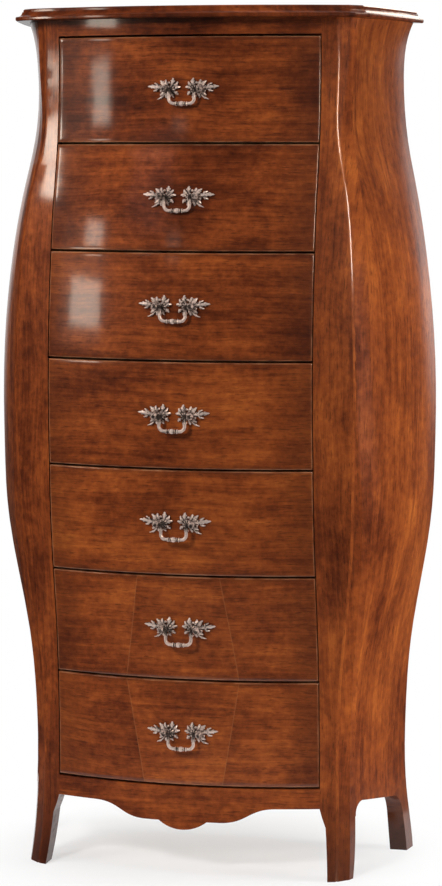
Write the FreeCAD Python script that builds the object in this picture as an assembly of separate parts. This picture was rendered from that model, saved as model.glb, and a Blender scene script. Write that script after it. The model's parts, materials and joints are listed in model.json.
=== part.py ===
import FreeCAD, Part
import math
import os
from collections import namedtuple

from FreeCAD import Vector

# A tall narrow chest with seven drawers. Its front is bowed in plan and swells
# forward at the middle, its sides swell too and flare out towards the back.
# X runs along the front, Y from the front to the back, Z up. The origin is the
# middle of the floor under the chest. All lengths are millimetres.

# Case: heights, depth from the back plane to the middle of the front, half widths
total_height = 1300.0
top_thickness = 18.0
neck_depth = 255.0
belly_swell = 50.0
bow_radius = 670.0
post_face_width = 24.1
arris_swell = 34.0
rear_flare = 62.0
rear_swell = 51.0
cant_size = 16.0
side_rise = 18.0

# Drawers: fronts, joints between them, boxes
drawer_count = 7
top_rail_height = 25.6
lowest_joint_height = 135.0
front_width = 403.4
front_gap = 3.0
front_side_gap = 1.2
front_thickness = 18.0
front_edge_ease = 1.4
stop_gap = 0.5
drawer_side_thickness = 10.0
drawer_back_thickness = 9.0
drawer_bottom_thickness = 5.0
drawer_bottom_lift = 7.0
drawer_groove_depth = 4.0
drawer_side_play = 1.5
drawer_running_gap = 0.3
drawer_head_room = 3.0
drawer_back_step = 12.0
drawer_rear_room = 6.0

# Carcass boards
panel_thickness = 15.0
post_depth = 30.0
stile_width = 28.0
stile_depth = 22.0
back_thickness = 6.0
apron_thickness = 20.0
divider_thickness = 14.0
divider_depth = 48.0
runner_width = 34.0
guide_thickness = 12.0
guide_height = 16.0
guide_gap = 1.0

# Legs, apron and the lower edges of the side panels
leg_top_height = 104.0
leg_neck_height = 76.0
leg_neck_step = 9.0
leg_foot_step = 15.6
leg_bulge = 0.6
side_edge_height = 107.0
side_bracket_radius = 20.0
foot_depth = 26.0
rear_leg_depth = 28.0
rear_leg_reach = 62.0
rear_leg_neck_height = 58.0
rear_seam_low_height = 92.0
rear_seam_height = 110.0
rear_foot_width = 31.0
rear_ankle_width = 40.0
apron_lobe_drop = 34.5
apron_lobe_half_width = 37.0
apron_step_drop = 22.0
apron_step_half_width = 57.0
apron_wave_half_width = 140.0
apron_wave_share = 0.5

# Top board: reach beyond the case at the neck, and the moulding of its edge
top_reach = 29.0
top_cant = 18.0
top_side_rise = 3.0
top_back_reach = 8.0
lip_round = 2.0
lip_height = 6.5
cove_width = 7.0
cove_height = 7.0
fillet_step = 1.6

# Screws that hold the top board from below
screw_diameter = 4.0
screw_head_diameter = 8.0
screw_head_height = 3.0
screw_bite = 11.0
screw_clearance = 0.1
screw_inset = 60.0

# Handles: two cast leaf plates with posts, and a bail that hangs between them
handle_spacing = 54.0
leaf_width = 45.0
leaf_height = 30.0
leaf_thickness = 3.2
leaf_post_offset = 18.0
leaf_seat_gap = 0.1
post_diameter = 7.0
post_standoff = 11.0
knob_diameter = 10.0
bolt_diameter = 4.0
bolt_clearance = 0.2
nut_corners = 6
nut_width = 8.0
nut_height = 3.5
bolt_end = 1.5
bail_diameter = 4.2
bail_side_gap = 0.5
bail_drop = 22.0
bail_corner_radius = 8.0
bail_shoulder_radius = 3.0
bail_pin_clearance = 0.05
bail_pin_inset = 1.0
knuckle_diameter = 7.4
knuckle_length = 7.0
bead_diameter = 6.2
bead_length = 2.4
bead_gap = 1.0

# Case profile, from the floor up: height as a share of the case, then shares of
# the front swell, the arris swell, the cant, the rear swell and the side rise
ProfileRow = namedtuple("ProfileRow", "height front arris cant rear rise")
profile_shares = [
    ProfileRow(0.000, 0.44, 0.15, 1.00, 0.33, 0.33),
    ProfileRow(0.047, 0.06, 0.07, 1.00, 0.20, 0.33),
    ProfileRow(0.105, -0.08, 0.02, 1.00, 0.08, 0.30),
    ProfileRow(0.168, -0.05, 0.05, 1.00, 0.10, 0.25),
    ProfileRow(0.230, 0.04, 0.18, 0.97, 0.19, 0.27),
    ProfileRow(0.2925, 0.24, 0.42, 0.92, 0.40, 0.42),
    ProfileRow(0.356, 0.54, 0.70, 0.85, 0.69, 0.66),
    ProfileRow(0.4805, 0.91, 0.92, 0.60, 0.98, 0.94),
    ProfileRow(0.574, 1.00, 1.00, 0.20, 1.00, 1.00),
    ProfileRow(0.668, 0.90, 0.91, 0.14, 0.86, 0.96),
    ProfileRow(0.761, 0.57, 0.67, 0.14, 0.57, 0.78),
    ProfileRow(0.855, 0.00, 0.06, 0.25, 0.14, 0.62),
    ProfileRow(0.917, -0.17, -0.01, 0.60, 0.00, 0.40),
    ProfileRow(0.980, -0.18, 0.00, 0.95, 0.10, 0.55),
    ProfileRow(1.000, -0.10, 0.01, 1.00, 0.28, 0.66),
]

# Leaf plate outline from its inner point to its outer tip and back: the middle
# and the end of each arc, as shares of the leaf's width and height
leaf_start_shares = (0.00, 0.10)
leaf_arc_shares = [
    ((0.16, 0.21), (0.30, 0.16)),
    ((0.35, 0.36), (0.46, 0.50)),
    ((0.56, 0.32), (0.70, 0.26)),
    ((0.86, 0.18), (1.00, 0.02)),
    ((0.86, -0.06), (0.74, -0.10)),
    ((0.68, -0.24), (0.56, -0.30)),
    ((0.49, -0.42), (0.38, -0.50)),
    ((0.31, -0.34), (0.22, -0.20)),
    ((0.10, -0.08), leaf_start_shares),
]

# Sizes that follow from those above
case_height = total_height - top_thickness
handle_reach = post_standoff + knob_diameter / 2
back_y = (neck_depth + belly_swell + handle_reach - top_back_reach) / 2
neck_y = back_y - neck_depth
opening_half_width = front_width / 2 + front_side_gap
arris_half_width = opening_half_width + post_face_width
rear_half_width = arris_half_width + rear_flare
drawer_half_width = opening_half_width - drawer_side_play
stile_front_y = back_y - back_thickness - stile_depth
drawer_rear_y = stile_front_y - drawer_rear_room
far = 2 * total_height
drawer_pitch = (case_height - top_rail_height - lowest_joint_height) / drawer_count
joint_heights = [case_height - top_rail_height - line * drawer_pitch for line in range(drawer_count + 1)]


def bow_fall(x):
    """How far the bowed front falls back from its middle at x."""
    return bow_radius - math.sqrt(bow_radius ** 2 - x ** 2)


def block(x_low, x_high, y_low, y_high, z_low, z_high):
    """A box between two corners."""
    return Part.makeBox(x_high - x_low, y_high - y_low, z_high - z_low, Vector(x_low, y_low, z_low))


def behind_bow(centre_y, z_low, z_high):
    """The space behind a bowed upright face whose middle is at centre_y."""
    return Part.makeCylinder(bow_radius, z_high - z_low, Vector(0, centre_y + bow_radius, z_low))


def mirrored(shape):
    """The same piece on the other side of the chest."""
    return shape.mirror(Vector(0, 0, 0), Vector(1, 0, 0))


def on_left(place):
    """The matching point left of the middle."""
    return Vector(-place.x, place.y, place.z)


def prism(edges, direction):
    """A solid from a closed flat outline, pushed along a direction."""
    face = Part.Face(Part.Wire(edges))
    return face.extrude(direction)


def lines_through(points):
    """Straight edges from point to point."""
    return [Part.makeLine(start, end) for start, end in zip(points, points[1:])]


def curve_through(points):
    """One smooth edge through the points."""
    curve = Part.BSplineCurve()
    curve.interpolate(points)
    return curve.toShape()


def arc_through(start, middle, end):
    """An arc through three points."""
    return Part.Arc(start, middle, end).toShape()


def bracket(start, end):
    """A quarter turn in the side view that leaves start upright and reaches end level."""
    turn = math.sin(math.pi / 4)
    middle = Vector(start.x, end.y - (end.y - start.y) * turn, start.z + (end.z - start.z) * turn)
    return arc_through(start, middle, end)


def save(name, *shapes):
    """Write the solids of one node."""
    solids = [solid for shape in shapes for solid in shape.Solids]
    piece = solids[0] if len(solids) == 1 else Part.makeCompound(solids)
    piece.exportStep("parts/" + name + ".step")
    print(name, len(solids), round(piece.Volume))


def outline(front, arris, cant, rear, rise):
    """A level outline: bowed front, canted corners, sides that rise outwards, straight back."""
    corner = Vector(arris.x + cant, arris.y + cant, arris.z)
    chord = rear - corner
    outward = Vector(chord.y, -chord.x, 0).normalize()
    side_middle = (corner + rear) / 2 + outward * rise
    return Part.Wire([
        arc_through(on_left(arris), front, arris),
        Part.makeLine(arris, corner),
        arc_through(corner, side_middle, rear),
        Part.makeLine(rear, on_left(rear)),
        arc_through(on_left(rear), on_left(side_middle), on_left(corner)),
        Part.makeLine(on_left(corner), on_left(arris)),
    ])


# Case sections
def arris_place(row):
    """X, Y and Z of the right front arris at one row of the profile."""
    x = arris_half_width + row.arris * arris_swell
    y = neck_y - row.front * belly_swell + bow_fall(x)
    return Vector(x, y, row.height * case_height)


def case_section(row, inset):
    """The closed outline of the case at one row, with its sides moved in by inset."""
    arris = arris_place(row)
    arris.x -= inset
    front = Vector(0, neck_y - row.front * belly_swell, arris.z)
    rear = Vector(rear_half_width + row.rear * rear_swell - inset, back_y, arris.z)
    return outline(front, arris, row.cant * cant_size, rear, row.rise * side_rise)


def case_body(inset):
    """The smooth solid that fills the case."""
    return Part.makeLoft([case_section(row, inset) for row in profile_shares], True, False)


outer = case_body(0)
inner = case_body(panel_thickness)
core = case_body(panel_thickness + stile_width)


def front_at(height):
    """Y of the middle of the front at a height."""
    ray = Part.makeLine(Vector(0, neck_y - far, height), Vector(0, back_y, height))
    return min(vertex.Y for vertex in ray.common(outer).Vertexes)


# Upright faces behind the drawer fronts, set by the thinner edge of each front, and the
# dividers that they close on
joint_fronts = [front_at(height) for height in joint_heights]
front_backs = [max(pair) + front_thickness for pair in zip(joint_fronts, joint_fronts[1:])]
divider_fronts = [max(front_backs[max(line - 1, 0)], front_backs[min(line, drawer_count - 1)]) + stop_gap
                  for line in range(drawer_count + 1)]

# Front posts: cut from the case by the drawer opening, the leg and the joint with the side panel
leg_neck = Vector(opening_half_width + leg_neck_step, -far, leg_neck_height)
leg_top = Vector(opening_half_width, -far, leg_top_height)
leg_bend = (leg_neck + leg_top) / 2 - Vector(leg_bulge, 0, 0)
leg_foot = Vector(opening_half_width + leg_foot_step, -far, 0)
post_front_view = prism(
    [arc_through(leg_top, leg_bend, leg_neck)]
    + lines_through([leg_neck, leg_foot, Vector(far, -far, 0), Vector(far, -far, case_height),
                     Vector(opening_half_width, -far, case_height), leg_top]),
    Vector(0, 2 * far, 0))

post_depths = [foot_depth] + [post_depth] * (len(profile_shares) - 1)
post_back_line = [Vector(0, arris_place(row).y + depth, row.height * case_height)
                  for row, depth in zip(profile_shares, post_depths)]
post_back_edge = curve_through(post_back_line)
post_side_view = prism(
    [post_back_edge] + lines_through([post_back_line[-1], Vector(0, -far, case_height),
                                      Vector(0, -far, 0), post_back_line[0]]),
    Vector(far, 0, 0))

right_post = outer.common(post_front_view).common(post_side_view)

# Side panels: a curved board between the post and the back, with a bracket at the
# front leg and a slanting seam over the rear leg
side_edge_y = post_back_edge.Curve.value(post_back_edge.Curve.parameter(
    Vector(0, post_back_line[2].y, side_edge_height))).y
bracket_start = Vector(0, side_edge_y, side_edge_height - side_bracket_radius)
bracket_end = Vector(0, side_edge_y + side_bracket_radius, side_edge_height)
seam_start = Vector(0, back_y - rear_leg_reach, rear_seam_low_height)
seam_end = Vector(0, back_y, rear_seam_height)
panel_side_view = prism(
    [bracket(bracket_start, bracket_end)]
    + lines_through([bracket_end, seam_start, seam_end, Vector(0, back_y, case_height),
                     Vector(0, -far, case_height), Vector(0, -far, bracket_start.z), bracket_start]),
    Vector(far, 0, 0))
right_panel = outer.common(panel_side_view.cut(post_side_view)).cut(inner)

# Rear legs: a foot under the seam and a stile that runs up inside the side panel
rear_x = rear_half_width + profile_shares[0].rear * rear_swell
foot_front = Vector(0, back_y - rear_leg_depth, 0)
foot_neck = Vector(0, back_y - rear_leg_depth, rear_leg_neck_height)
foot_side_view = prism(
    [bracket(foot_neck, seam_start)]
    + lines_through([seam_start, seam_end, Vector(0, back_y, 0), foot_front, foot_neck]),
    Vector(far, 0, 0))
foot_front_view = prism(
    lines_through([Vector(rear_x - rear_foot_width, -far, 0), Vector(far, -far, 0),
                   Vector(far, -far, rear_seam_height),
                   Vector(rear_x - rear_ankle_width, -far, rear_seam_height),
                   Vector(rear_x - rear_foot_width, -far, 0)]),
    Vector(0, 2 * far, 0))
rear_foot = outer.common(foot_side_view).common(foot_front_view)
stile_space = block(0, far, stile_front_y, back_y - back_thickness, rear_seam_low_height, case_height)
right_stile = inner.common(stile_space).cut(core)
right_rear_leg = rear_foot.fuse(right_stile).removeSplitter()

# Back panel, let in between the side panels behind the stiles
back_panel = inner.common(block(-far, far, back_y - back_thickness, back_y, rear_seam_height, case_height))

# Rails across the front: the top rail and the shaped apron
top_rail_low = joint_heights[0] + front_gap / 2
top_rail = outer.common(block(-opening_half_width, opening_half_width, -far, far, top_rail_low, case_height))
top_rail = top_rail.cut(behind_bow(front_backs[0], 0, case_height))

apron_top = joint_heights[-1] - front_gap / 2
apron_line = [
    Vector(opening_half_width, -far, leg_top_height),
    Vector(apron_wave_half_width, -far, leg_top_height),
    Vector(apron_step_half_width, -far, leg_top_height - apron_step_drop),
    Vector(apron_lobe_half_width, -far, leg_top_height - apron_step_drop),
    Vector(0, -far, leg_top_height - apron_lobe_drop),
]


def wave(start, end):
    """An S-shaped edge that leaves start level and reaches end level."""
    lean = (end.x - start.x) * apron_wave_share
    poles = [start, Vector(start.x + lean, start.y, start.z), Vector(end.x - lean, end.y, end.z), end]
    curve = Part.BezierCurve()
    curve.setPoles(poles)
    return curve.toShape()


apron_corner, wave_top, wave_foot, lobe_side, lobe_middle = apron_line
apron_edges = [
    Part.makeLine(apron_corner, wave_top),
    wave(wave_top, wave_foot),
    Part.makeLine(wave_foot, lobe_side),
    arc_through(lobe_side, lobe_middle, on_left(lobe_side)),
    Part.makeLine(on_left(lobe_side), on_left(wave_foot)),
    wave(on_left(wave_foot), on_left(wave_top)),
    Part.makeLine(on_left(wave_top), on_left(apron_corner)),
]
apron_edges += lines_through([on_left(apron_corner), Vector(-opening_half_width, -far, apron_top),
                              Vector(opening_half_width, -far, apron_top), apron_corner])
apron = outer.common(prism(apron_edges, Vector(0, 2 * far, 0)))
apron = apron.cut(behind_bow(front_at(apron_top) + apron_thickness, 0, case_height))

# Bottom board, dividers, back rails and runners
board_half = divider_thickness / 2
board_low = joint_heights[-1] - board_half
board_high = joint_heights[-1] + board_half
bottom_board = inner.common(block(-far, far, -far, back_y - back_thickness, board_low, board_high))
bottom_board = bottom_board.common(behind_bow(divider_fronts[-1], board_low, board_high))
for blocker in (right_post, mirrored(right_post), right_rear_leg, mirrored(right_rear_leg), apron):
    bottom_board = bottom_board.cut(blocker)
bottom_board = max(bottom_board.Solids, key=lambda solid: solid.Volume)

runner_inner_x = drawer_half_width - drawer_side_thickness - guide_gap
guide_inner_x = drawer_half_width + guide_gap
dividers = []
back_rails = []
right_runners = []
for line in range(1, drawer_count):
    low = joint_heights[line] - board_half
    high = joint_heights[line] + board_half
    divider_back = divider_fronts[line] + divider_depth
    divider = block(-opening_half_width, opening_half_width, -far, divider_back, low, high)
    dividers.append(divider.common(behind_bow(divider_fronts[line], low, high)))
    back_rails.append(core.common(block(-far, far, stile_front_y, back_y - back_thickness, low, high)))
    runner = block(runner_inner_x, runner_inner_x + runner_width, divider_back, stile_front_y, low, high)
    guide = block(guide_inner_x, guide_inner_x + guide_thickness, divider_back, stile_front_y,
                  high, high + guide_height)
    right_runners.append(runner.fuse(guide).cut(right_post).removeSplitter())

lowest_guide = block(guide_inner_x, guide_inner_x + guide_thickness, divider_fronts[-1] + divider_depth,
                     stile_front_y, board_high, board_high + guide_height)
right_runners.append(lowest_guide.cut(right_post))
top_back_rail = core.common(block(-far, far, stile_front_y, back_y - back_thickness,
                                  joint_heights[0], case_height))


# Top board: one outline, moved in step by step up the moulded edge
def top_section(inset, height):
    """The outline of the top board, its front and sides moved in by inset."""
    arris_x = arris_half_width + top_reach - inset
    front_y = neck_y - profile_shares[-2].front * belly_swell - top_reach + inset
    arris = Vector(arris_x, front_y + bow_fall(arris_x), height)
    rear = Vector(rear_half_width + top_reach - inset, back_y + top_back_reach, height)
    return outline(Vector(0, front_y, height), arris, top_cant, rear, top_side_rise)


def moulding(levels, straight):
    """One band of the top board, from outline to outline."""
    return Part.makeLoft([top_section(inset, height) for inset, height in levels], True, straight)


lip_high = case_height + lip_height
cove_high = lip_high + cove_height
slab_inset = lip_round + cove_width + fillet_step
turn_share = 1 - math.cos(math.pi / 4)
lip = moulding([
    (lip_round, case_height),
    (lip_round * turn_share, case_height + lip_round * turn_share),
    (0, case_height + lip_round),
    (0, lip_high - lip_round),
    (lip_round * turn_share, lip_high - lip_round * turn_share),
    (lip_round, lip_high),
], True)
cove = moulding([
    (lip_round, lip_high),
    (lip_round + cove_width * (1 - turn_share), lip_high + cove_height * turn_share),
    (lip_round + cove_width, cove_high),
], False)
slab = moulding([
    (slab_inset, cove_high),
    (slab_inset, total_height - fillet_step),
    (slab_inset + fillet_step, total_height),
], True)
top_board = lip.fuse(cove).fuse(slab)


# Screws up through the two top rails into the top board
def screw(x, y, low):
    """A screw whose head is let in flush at low and whose tip bites into the top board."""
    head = Part.makeCylinder(screw_head_diameter / 2, screw_head_height, Vector(x, y, low))
    shank = Part.makeCylinder(screw_diameter / 2, case_height + screw_bite - low, Vector(x, y, low))
    return head.fuse(shank).removeSplitter()


def screw_hole(x, y, low):
    """The hole for a screw, with its clearance."""
    head = Part.makeCylinder(screw_head_diameter / 2 + screw_clearance,
                             screw_head_height + screw_clearance, Vector(x, y, low))
    shank = Part.makeCylinder(screw_diameter / 2 + screw_clearance,
                              case_height + screw_bite - low + screw_clearance, Vector(x, y, low))
    return head.fuse(shank)


screw_x = opening_half_width - screw_inset
screw_rows = [
    ((front_at(case_height) + front_backs[0]) / 2 + bow_fall(screw_x), top_rail_low),
    (stile_front_y + stile_depth / 2, joint_heights[0]),
]
screws = []
for row_y, row_low in screw_rows:
    for row_x in (-screw_x, screw_x):
        screws.append(screw(row_x, row_y, row_low))
        hole = screw_hole(row_x, row_y, row_low)
        top_board = top_board.cut(hole)
        top_rail = top_rail.cut(hole)
        top_back_rail = top_back_rail.cut(hole)
back_rails.append(top_back_rail)


# Drawers
def eased(front):
    """Take off the sharp edges of the face that shows, the foremost one."""
    shown = min(front.Faces, key=lambda face: face.CenterOfMass.y)
    return front.makeChamfer(front_edge_ease, shown.Edges)


def drawer_front(index):
    """A front cut from the case, hollowed behind to an upright bowed face."""
    low = joint_heights[index + 1] + front_gap / 2
    high = joint_heights[index] - front_gap / 2
    half = front_width / 2
    front = outer.common(block(-half, half, -far, far, low, high))
    return eased(front.cut(behind_bow(front_backs[index], low, high)))


def drawer_box(index):
    """The two sides, the back and the bottom board of a drawer."""
    low = joint_heights[index + 1] + board_half + drawer_running_gap
    high = joint_heights[index] - board_half - drawer_head_room
    backing = behind_bow(front_backs[index], low, high)
    inside_x = drawer_half_width - drawer_side_thickness
    bottom_low = low + drawer_bottom_lift
    bottom_high = bottom_low + drawer_bottom_thickness
    groove_x = inside_x + drawer_groove_depth
    bottom = block(-groove_x, groove_x, -far, drawer_rear_y, bottom_low, bottom_high).common(backing)
    side = block(inside_x, drawer_half_width, -far, drawer_rear_y, low, high).common(backing).cut(bottom)
    back = block(-inside_x, inside_x, drawer_rear_y - drawer_back_thickness, drawer_rear_y,
                 bottom_high, high - drawer_back_step)
    return side, back, bottom


# Handles, made standing at the origin with the wood behind the plane y = 0
post_x = handle_spacing / 2
along_depth = Vector(0, 1, 0)
along_width = Vector(1, 0, 0)


def leaf_plate():
    """The right-hand leaf plate, turned to the bow of the front and bored for its post."""
    def place(shares):
        across, up = shares
        return Vector(post_x - leaf_post_offset + across * leaf_width, -leaf_thickness, up * leaf_height)

    edges = []
    start = leaf_start_shares
    for middle, end in leaf_arc_shares:
        edges.append(arc_through(place(start), place(middle), place(end)))
        start = end
    plate = prism(edges, Vector(0, 2 * leaf_thickness, 0))
    bow_turn = math.degrees(math.asin(post_x / bow_radius))
    plate.rotate(Vector(post_x, 0, 0), Vector(0, 0, 1), bow_turn)
    plate.translate(Vector(0, bow_fall(post_x), 0))
    bore = Part.makeCylinder(post_diameter / 2 + bolt_clearance, post_standoff + leaf_thickness,
                             Vector(post_x, -post_standoff, 0), along_depth)
    return plate.cut(bore)


def handle_post(x):
    """A post at x: a stem on the wood with a knob that is drilled for the bail."""
    eye_centre = Vector(x, -post_standoff, 0)
    stem = Part.makeCylinder(post_diameter / 2, post_standoff - leaf_seat_gap, eye_centre, along_depth)
    knob = Part.makeSphere(knob_diameter / 2, eye_centre)
    eye = Part.makeCylinder(bail_diameter / 2 + bail_pin_clearance, knob_diameter,
                            eye_centre - along_width * (knob_diameter / 2), along_width)
    return stem.fuse(knob).cut(eye).removeSplitter()


def bolt(x, front_y, height, end_y, radius):
    """A level rod from the foot of the post at x back through the drawer front."""
    start_y = front_y - leaf_thickness
    return Part.makeCylinder(radius, end_y - start_y, Vector(x, start_y, height), along_depth)


def hex_nut(seat_y, height):
    """A nut on the bolt, with its face at seat_y."""
    radius = nut_width / math.sqrt(3)
    turns = [math.tau * corner / nut_corners for corner in range(nut_corners)]
    corners = [Vector(post_x + radius * math.cos(turn), seat_y, height + radius * math.sin(turn))
               for turn in turns]
    nut = prism(lines_through(corners + corners[:1]), Vector(0, nut_height, 0))
    bore = Part.makeCylinder(bolt_diameter / 2 + bolt_clearance, nut_height,
                             Vector(post_x, seat_y, height), along_depth)
    return nut.cut(bore)


def bail():
    """A bent rod that hangs from its two pins, with a knuckle and beads at its middle."""
    arm_x = post_x - (knob_diameter + bail_diameter) / 2 - bail_side_gap
    pin_x = post_x + knob_diameter / 2 - bail_pin_inset
    shoulder = bail_shoulder_radius
    corner = bail_corner_radius
    bend = math.sin(math.pi / 4)
    half = [
        Part.makeLine(Vector(pin_x, 0, 0), Vector(arm_x + shoulder, 0, 0)),
        arc_through(Vector(arm_x + shoulder, 0, 0),
                    Vector(arm_x + shoulder - shoulder * bend, 0, shoulder * bend - shoulder),
                    Vector(arm_x, 0, -shoulder)),
        Part.makeLine(Vector(arm_x, 0, -shoulder), Vector(arm_x, 0, corner - bail_drop)),
        arc_through(Vector(arm_x, 0, corner - bail_drop),
                    Vector(arm_x - corner + corner * bend, 0, corner - bail_drop - corner * bend),
                    Vector(arm_x - corner, 0, -bail_drop)),
        Part.makeLine(Vector(arm_x - corner, 0, -bail_drop), Vector(0, 0, -bail_drop)),
    ]
    profile = Part.Wire([Part.makeCircle(bail_diameter / 2, Vector(pin_x, 0, 0), Vector(-1, 0, 0))])
    rod = Part.Wire(half).makePipeShell([profile], True, False)
    rod = rod.fuse(mirrored(rod))
    rod = rod.fuse(Part.makeCylinder(knuckle_diameter / 2, knuckle_length,
                                     Vector(-knuckle_length / 2, 0, -bail_drop), along_width))
    bead_x = knuckle_length / 2 + bead_gap
    for low_x in (bead_x, -bead_x - bead_length):
        rod = rod.fuse(Part.makeCylinder(bead_diameter / 2, bead_length,
                                         Vector(low_x, 0, -bail_drop), along_width))
    return rod.removeSplitter()


def handle_seat(index):
    """Height of a handle, the middle of the wood there and how far it leans back, in degrees."""
    height = (joint_heights[index] + joint_heights[index + 1]) / 2
    above = front_at(height + leaf_height / 2)
    below = front_at(height - leaf_height / 2)
    return height, front_at(height), math.degrees(math.atan2(below - above, leaf_height))


def set_on_front(shape, height, front_y, lean):
    """Turn a handle piece to the slope of the wood and move it to its place."""
    placed = shape.copy()
    placed.rotate(Vector(0, 0, 0), Vector(1, 0, 0), lean)
    placed.translate(Vector(0, front_y, height))
    return placed


# Write every piece
os.makedirs("parts", exist_ok=True)
save("top_board", top_board)
save("top_rail", top_rail)
save("apron_rail", apron)
save("front_left_post", mirrored(right_post))
save("front_right_post", right_post)
save("rear_left_leg", mirrored(right_rear_leg))
save("rear_right_leg", right_rear_leg)
save("left_side_panel", mirrored(right_panel))
save("right_side_panel", right_panel)
save("back_panel", back_panel)
save("bottom_board", bottom_board)
save("drawer_dividers", *dividers)
save("left_runners", *[mirrored(runner) for runner in right_runners])
save("right_runners", *right_runners)
save("back_rails", *back_rails)
save("top_screws", *screws)

for index in range(drawer_count):
    name = "drawer_" + str(index + 1)
    height, front_y, lean = handle_seat(index)
    nut_seat = front_backs[index] + bow_fall(post_x + nut_width / 2)
    bolt_rear = nut_seat + nut_height + bolt_end
    front = drawer_front(index)
    plate = set_on_front(leaf_plate(), height, front_y, lean).cut(outer)
    plate.translate(Vector(0, -leaf_seat_gap, 0))
    nut = hex_nut(nut_seat, height)
    handle_pieces = [plate, mirrored(plate), nut, mirrored(nut)]
    for x in (-post_x, post_x):
        front = front.cut(bolt(x, front_y, height, bolt_rear, bolt_diameter / 2 + bolt_clearance))
        post = set_on_front(handle_post(x), height, front_y, lean).cut(outer)
        handle_pieces.append(post.fuse(bolt(x, front_y, height, bolt_rear, bolt_diameter / 2)))

    side, back, bottom = drawer_box(index)
    save(name + "_front", front)
    save(name + "_sides", side, mirrored(side))
    save(name + "_back", back)
    save(name + "_bottom", bottom)
    save(name + "_handle_plates", *handle_pieces)

    axis = set_on_front(Part.Vertex(0, -post_standoff, 0), height, front_y, lean).Point
    hanging = bail()
    hanging.translate(axis)
    save(name + "_bail", hanging)
    print(name, "bail axis", [round(value, 3) for value in axis])
    print(name, "back face", round(front_backs[index], 3))
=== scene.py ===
# %% [markdown]
# A seven-drawer chest, dressed for the camera
#
# The chest is a tall, narrow one with a bowed and swelling front, called a semainier because it
# has a drawer for each day of the week. The joiner's model arrives as a fixed frame: every board,
# drawer and bail is already in place, in metres, with +Z up and the front facing -Y. This lesson
# leaves the boards where they are and adds what the eye looks for: eased drawer fronts, cast
# pulls, a stained and lacquered finish, and a plain studio.

# %% Load the frame
import json
import math

import bmesh
import bpy
from mathutils import Matrix, Vector
from mathutils.bvhtree import BVHTree


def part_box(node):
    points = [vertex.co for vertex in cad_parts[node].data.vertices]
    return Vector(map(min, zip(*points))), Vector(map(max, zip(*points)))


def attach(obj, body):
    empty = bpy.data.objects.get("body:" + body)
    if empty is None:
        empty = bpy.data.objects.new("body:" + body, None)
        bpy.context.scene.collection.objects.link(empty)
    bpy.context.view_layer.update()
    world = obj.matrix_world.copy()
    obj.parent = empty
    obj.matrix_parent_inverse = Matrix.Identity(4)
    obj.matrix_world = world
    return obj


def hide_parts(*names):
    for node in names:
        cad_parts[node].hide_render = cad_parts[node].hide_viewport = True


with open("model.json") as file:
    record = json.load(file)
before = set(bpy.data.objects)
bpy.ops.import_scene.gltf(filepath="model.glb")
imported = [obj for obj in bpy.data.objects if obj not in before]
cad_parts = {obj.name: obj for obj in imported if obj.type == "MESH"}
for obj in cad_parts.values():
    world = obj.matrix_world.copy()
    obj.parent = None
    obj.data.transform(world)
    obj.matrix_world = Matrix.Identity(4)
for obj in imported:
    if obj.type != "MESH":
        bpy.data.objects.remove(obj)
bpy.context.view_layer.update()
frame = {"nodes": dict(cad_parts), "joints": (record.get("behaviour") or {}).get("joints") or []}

nodes = frame["nodes"]
drawer_count = 7
drawers = range(1, drawer_count + 1)

# %% [markdown]
# Talking to shader trees
#
# Every finish below is a tree of nodes. Building trees by hand means the same moves again and
# again: add a node, set its sockets, draw a wire. A few small helpers do that, so that the recipes
# further down read as recipes.

# %% Helpers that add nodes
def add_node(tree, kind, sockets=None, **settings):
    """Add a node. Sockets take a plain value or another node's output."""
    node = tree.nodes.new(kind)
    for name, value in settings.items():
        setattr(node, name, value)
    for name, value in (sockets or {}).items():
        if isinstance(value, bpy.types.NodeSocket):
            tree.links.new(value, node.inputs[name])
        else:
            node.inputs[name].default_value = value
    return node


def calculate(tree, operation, first, second=0.0, clamp=False):
    """One Math node, as an output."""
    node = add_node(tree, "ShaderNodeMath", {0: first, 1: second}, operation=operation, use_clamp=clamp)
    return node.outputs[0]


def calculate_vector(tree, operation, *values, output="Vector"):
    """One Vector Math node, as an output."""
    node = add_node(tree, "ShaderNodeVectorMath", dict(enumerate(values)), operation=operation)
    return node.outputs[output]


def stretch_range(tree, value, low, high, to_low=0.0, to_high=1.0):
    """A smooth step: value from low to high becomes to_low to to_high."""
    node = add_node(tree, "ShaderNodeMapRange",
                    {"Value": value, "From Min": low, "From Max": high, "To Min": to_low, "To Max": to_high},
                    interpolation_type="SMOOTHSTEP")
    return node.outputs["Result"]


def blend_colours(tree, share, first, second):
    """Blend two colours by a share from 0 to 1."""
    node = add_node(tree, "ShaderNodeMix", {0: share, 6: first, 7: second}, data_type="RGBA")
    return node.outputs[2]


def lay_over(tree, colour, over, mask, share):
    """Lay a second colour over the first where a mask is 1, at a share of its full strength."""
    return blend_colours(tree, calculate(tree, "MULTIPLY", mask, share), colour, over)


def cloud(tree, place, counts, detail=2.0, roughness=0.5):
    """Soft noise from 0 to 1, with its own count of clouds per metre along x, y and z."""
    spread = calculate_vector(tree, "MULTIPLY", place, counts)
    node = add_node(tree, "ShaderNodeTexNoise",
                    {"Vector": spread, "Scale": 1.0, "Detail": detail, "Roughness": roughness})
    return node.outputs[0]


print("node helpers ready")

# %% Helpers for groups and materials
def new_group(name, inputs, outputs):
    """An empty node group with named sockets, and its two end nodes."""
    group = bpy.data.node_groups.new(name, "ShaderNodeTree")
    for socket, kind in inputs:
        group.interface.new_socket(socket, in_out="INPUT", socket_type=kind)
    for socket, kind in outputs:
        group.interface.new_socket(socket, in_out="OUTPUT", socket_type=kind)
    return group, group.nodes.new("NodeGroupInput"), group.nodes.new("NodeGroupOutput")


def new_material(name):
    """A material with an empty Principled shader."""
    material = bpy.data.materials.new(name)
    material.use_nodes = True
    tree = material.node_tree
    return material, tree, tree.nodes["Principled BSDF"]


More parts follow.
